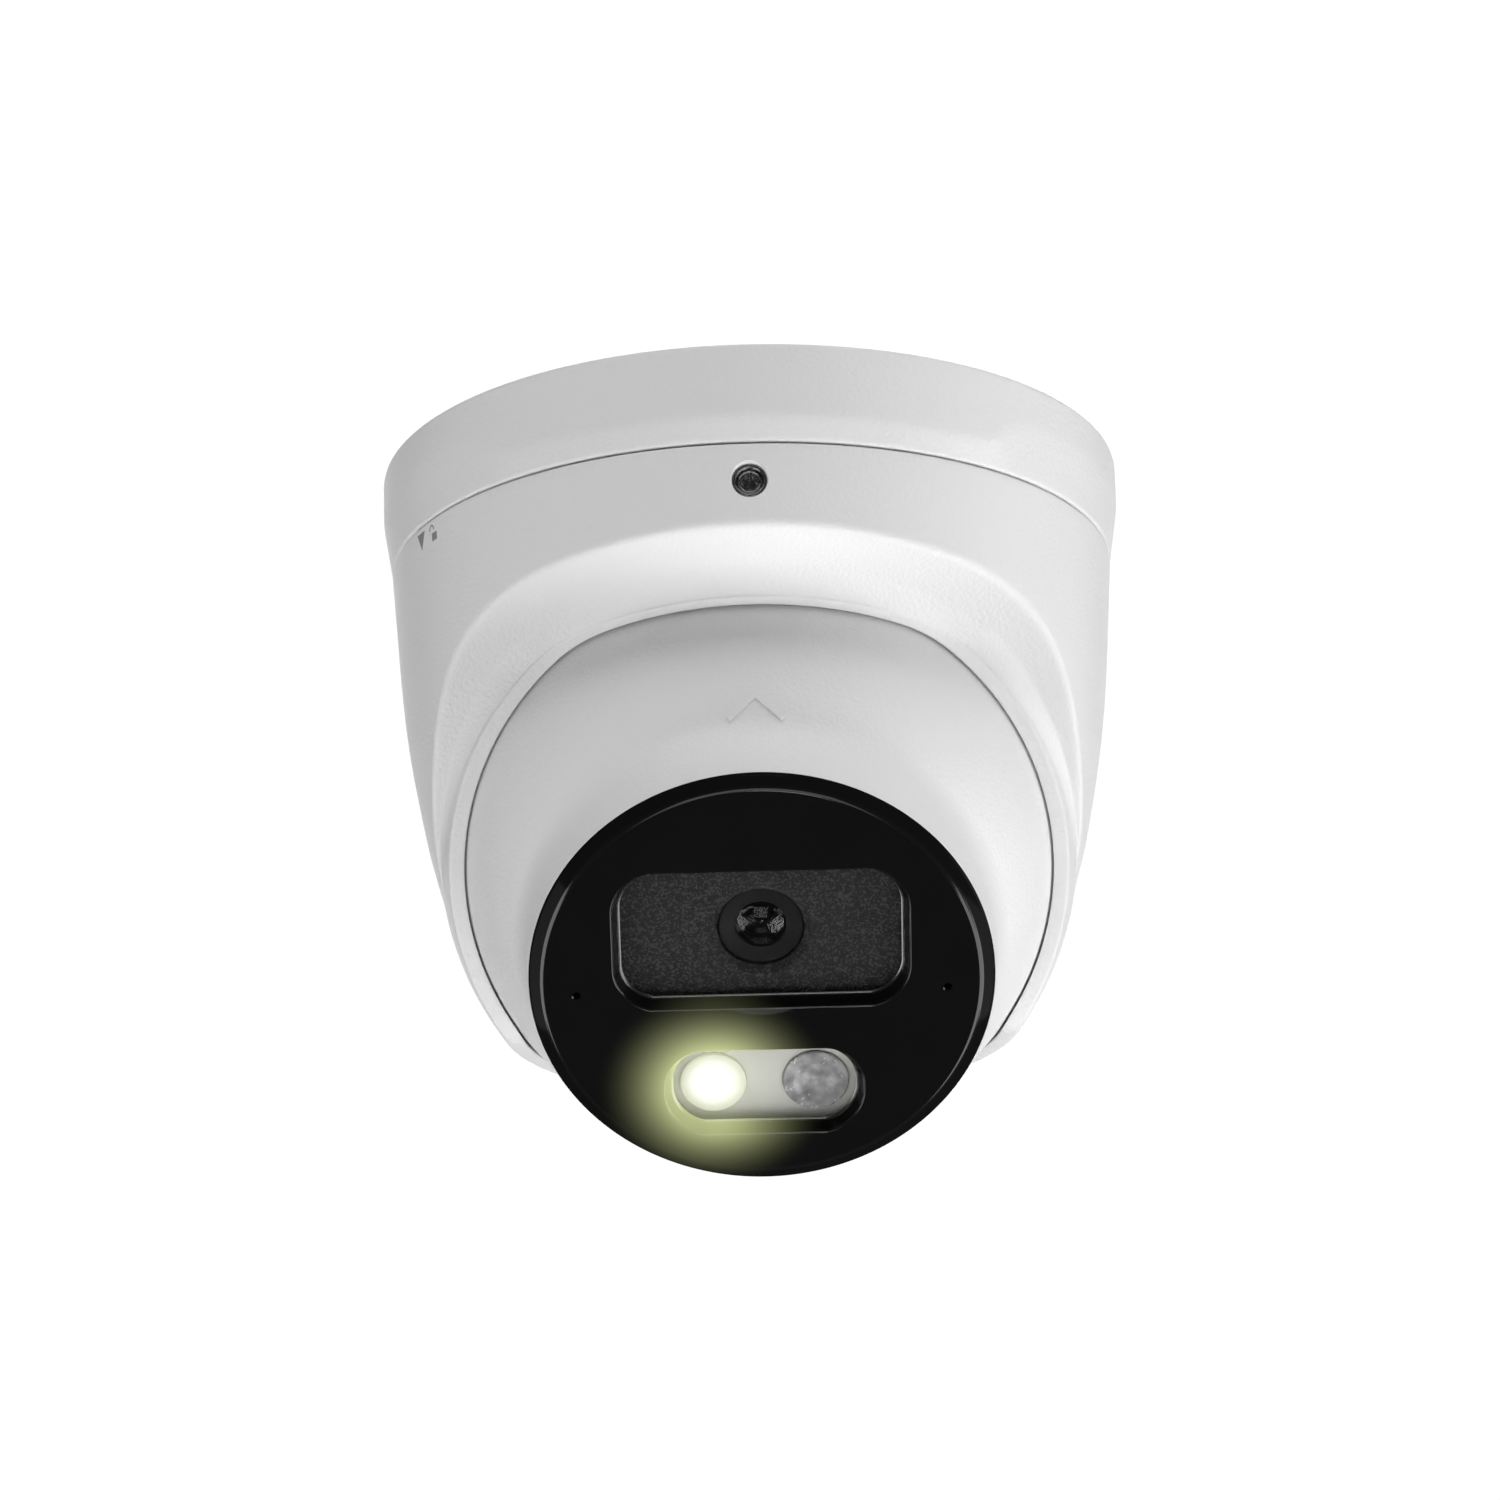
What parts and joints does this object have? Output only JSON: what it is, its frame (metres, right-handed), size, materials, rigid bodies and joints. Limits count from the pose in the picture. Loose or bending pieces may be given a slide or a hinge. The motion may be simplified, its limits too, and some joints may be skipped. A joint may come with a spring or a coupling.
{
  "type": "dome cctv camera",
  "caption": "Ceiling turret security camera: a ball with a black lens face turns in a white visored housing on a round mounting base.",
  "frame": {"origin": "centre of the base's flat face that meets the ceiling", "axes": "+Z into the ceiling, so the camera hangs to -Z; the lens looks towards -Y and down; +X to the viewer's right"},
  "size_m": [0.122, 0.122, 0.1204],
  "materials": {
    "white_paint": "fine orange-peel white powder coat",
    "black_gloss": "polished black",
    "dark_plastic": "moulded",
    "clear_pane": "clear polished",
    "lens_glass": "coated optical",
    "sparkle_grey": "dark grey with a fine metallic sparkle",
    "steel": "zinc plated",
    "dark_steel": "blackened",
    "cast_zinc": "as cast",
    "bare_aluminium": "satin",
    "brass": "turned",
    "black_rubber": "matt",
    "circuit_board": "solder resist",
    "chip_black": "moulded package",
    "thermal_grey": "soft pad",
    "white_plastic": "semi gloss",
    "light_optic": "moulded clear optic",
    "lit_led": "lit white light source",
    "dark_led": "infrared source under clear resin"
  },
  "bodies": {
    "base": {"mounting_base": "white_paint", "pan_friction_ring": "dark_plastic", "pan_ring_retainer": "steel", "retainer_screws": "steel"},
    "pan_unit": {"pan_ring": "cast_zinc", "housing": "white_paint", "lock_screw_insert": "dark_steel", "ball_clamp": "dark_plastic", "clamp_screws": "steel", "ball_friction_ring": "black_rubber"},
    "locking_screw": {"lock_screw": "dark_steel"},
    "tilt_carriage": {"tilt_slider": "dark_plastic"},
    "camera_ball": {"board_pillars": "brass", "board_screws": "steel", "cable_gland": "black_rubber", "cable_socket": "white_plastic", "card_socket": "bare_aluminium", "chassis_plate": "bare_aluminium", "face_cover": "black_gloss", "face_gasket": "black_rubber", "front_lens": "lens_glass", "front_shell": "white_paint", "image_sensor": "chip_black", "infrared_led": "dark_led", "infrared_led_lens": "light_optic", "ir_cut_filter": "dark_plastic", "lens_barrel": "dark_plastic", "lens_foam_ring": "black_rubber", "lens_holder": "dark_plastic", "lens_lock_ring": "dark_plastic", "lens_mask": "sparkle_grey", "lens_window": "clear_pane", "light_board": "circuit_board", "light_heat_sink": "bare_aluminium", "light_tray": "white_plastic", "light_window": "clear_pane", "main_board": "circuit_board", "microphone_boot_left": "black_rubber", "microphone_boot_right": "black_rubber", "microphone_left": "bare_aluminium", "microphone_right": "bare_aluminium", "network_transformer": "chip_black", "processor": "chip_black", "processor_heat_sink": "bare_aluminium", "rear_lens_group": "lens_glass", "rear_shell": "white_paint", "reset_switch": "chip_black", "sensor_board": "circuit_board", "service_board": "circuit_board", "service_cover": "white_paint", "service_gasket": "black_rubber", "service_screws": "steel", "shell_screws": "steel", "shell_seal": "black_rubber", "slider_clip": "steel", "thermal_pad": "thermal_grey", "white_led": "lit_led", "white_led_lens": "light_optic"},
    "reset_key": {"reset_button": "white_plastic"}
  },
  "joints": [
    {"name": "pan", "type": "hinge", "parent": "base", "child": "pan_unit", "pos_m": [0, 0, -0.01], "axis": [0, 0, 1], "range_deg": [-180, 180]},
    {"name": "lock_screw_out", "type": "slide", "parent": "pan_unit", "child": "locking_screw", "axis": [0, -1, 0], "range_m": [0, 0.002]},
    {"name": "tilt", "type": "hinge", "parent": "pan_unit", "child": "tilt_carriage", "pos_m": [0, 0, -0.0637], "axis": [-1, 0, 0], "range_deg": [-43, 27]},
    {"name": "rotate", "type": "hinge", "parent": "tilt_carriage", "child": "camera_ball", "pos_m": [0, 0, -0.0637], "axis": [0, -0.682, -0.7314], "range_deg": [-180, 180]},
    {"name": "reset_press", "type": "slide", "parent": "camera_ball", "child": "reset_key", "axis": [0, -0.7314, 0.682], "range_m": [0, 0.00025], "stiffness_N_per_m": 1500, "springref_m": -0.0003}
  ]
}
